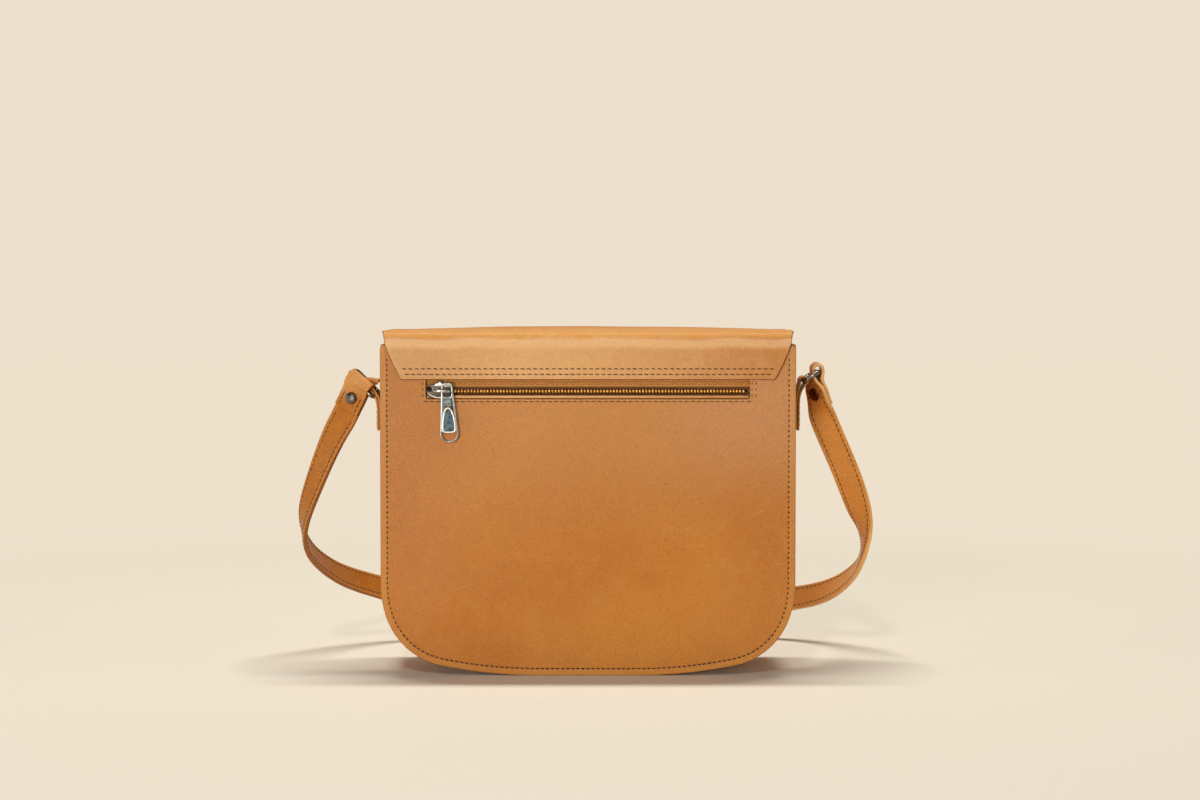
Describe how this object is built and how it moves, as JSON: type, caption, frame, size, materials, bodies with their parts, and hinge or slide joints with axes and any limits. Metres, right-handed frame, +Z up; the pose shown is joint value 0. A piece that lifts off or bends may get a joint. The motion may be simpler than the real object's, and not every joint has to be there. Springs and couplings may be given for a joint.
{
  "type": "leather flap bag",
  "caption": "Tan leather flap bag with a turned-in gusset, folding snap flap, zipped back pocket and a riveted shoulder strap on wire rings",
  "frame": {"origin": "on the floor under the middle of the gusset's flat bottom", "axes": "x along the bag's width, y from the back panel towards the closing flap, z up"},
  "size_m": [0.3899, 0.1857, 0.2272],
  "materials": {
    "tan_leather": "vegetable tanned, soft sheen, fine scratches",
    "inner_leather": "suede, matte",
    "zip_tape": "woven",
    "antique_brass": "darkened",
    "nickel": "polished nickel",
    "dark_rivet": "browned",
    "pocket_cloth": "plain weave"
  },
  "bodies": {
    "bag": {"back_panel": "tan_leather", "front_panel": "tan_leather", "gusset": "tan_leather", "flap_back_tab": "tan_leather", "zip_tape_upper": "zip_tape", "zip_tape_lower": "zip_tape", "zip_teeth_upper": "antique_brass", "zip_teeth_lower": "antique_brass", "zip_stop_left": "antique_brass", "zip_stop_right": "antique_brass", "zip_pocket": "pocket_cloth", "snap_socket": "nickel", "snap_socket_washer": "nickel", "left_side_tab": "tan_leather", "right_side_tab": "tan_leather", "left_strap_end": "tan_leather", "right_strap_end": "tan_leather", "left_rivet_cap": "nickel", "left_rivet_post": "dark_rivet", "right_rivet_cap": "nickel", "right_rivet_post": "dark_rivet"},
    "flap_fold": {"flap_fold": "tan_leather"},
    "flap_top": {"flap_top": "tan_leather"},
    "flap_front": {"flap_front": "tan_leather", "flap_lining": "inner_leather", "snap_stud": "nickel", "snap_stud_washer": "nickel"},
    "slider": {"zip_slider": "nickel"},
    "puller": {"zip_puller": "nickel"},
    "left_ring": {"left_ring": "nickel"},
    "right_ring": {"right_ring": "nickel"},
    "strap": {"strap_band": "tan_leather"}
  },
  "joints": [
    {"name": "flap_fold_lower", "type": "hinge", "parent": "bag", "child": "flap_fold", "pos_m": [0, -0.04097, 0.21928], "axis": [-1, 0, 0], "range_deg": [-117.5, 0]},
    {"name": "flap_fold_upper", "type": "hinge", "parent": "flap_fold", "child": "flap_top", "pos_m": [0, -0.03578, 0.22448], "axis": [-1, 0, 0], "range_deg": [-117.5, 0]},
    {"name": "flap_front_fold", "type": "hinge", "parent": "flap_top", "child": "flap_front", "pos_m": [0, 0.0468, 0.2142], "axis": [-1, 0, 0], "range_deg": [-85, 0]},
    {"name": "zip_slide", "type": "slide", "parent": "bag", "child": "slider", "axis": [1, 0, 0], "range_m": [0, 0.193]},
    {"name": "puller_swing", "type": "hinge", "parent": "slider", "child": "puller", "pos_m": [-0.0897, -0.0417, 0.1857], "axis": [0, -1, 0], "range_deg": [-40, 90]},
    {"name": "strap_swing", "type": "hinge", "parent": "bag", "child": "strap", "pos_m": [0, 0.0062, 0.1655], "axis": [1, 0, 0], "range_deg": [0, 140]},
    {"name": "left_ring_lift", "type": "hinge", "parent": "bag", "child": "left_ring", "pos_m": [-0.1445, 0, 0.191], "axis": [0.5, 0.866, 0], "range_deg": [0, 6]},
    {"name": "right_ring_lift", "type": "hinge", "parent": "bag", "child": "right_ring", "pos_m": [0.1428, 0, 0.1912], "axis": [0, -1, 0], "range_deg": [0, 6]}
  ],
  "couplings": [
    {"joint": "flap_fold_upper", "follows": "flap_fold_lower", "ratio": 1}
  ]
}
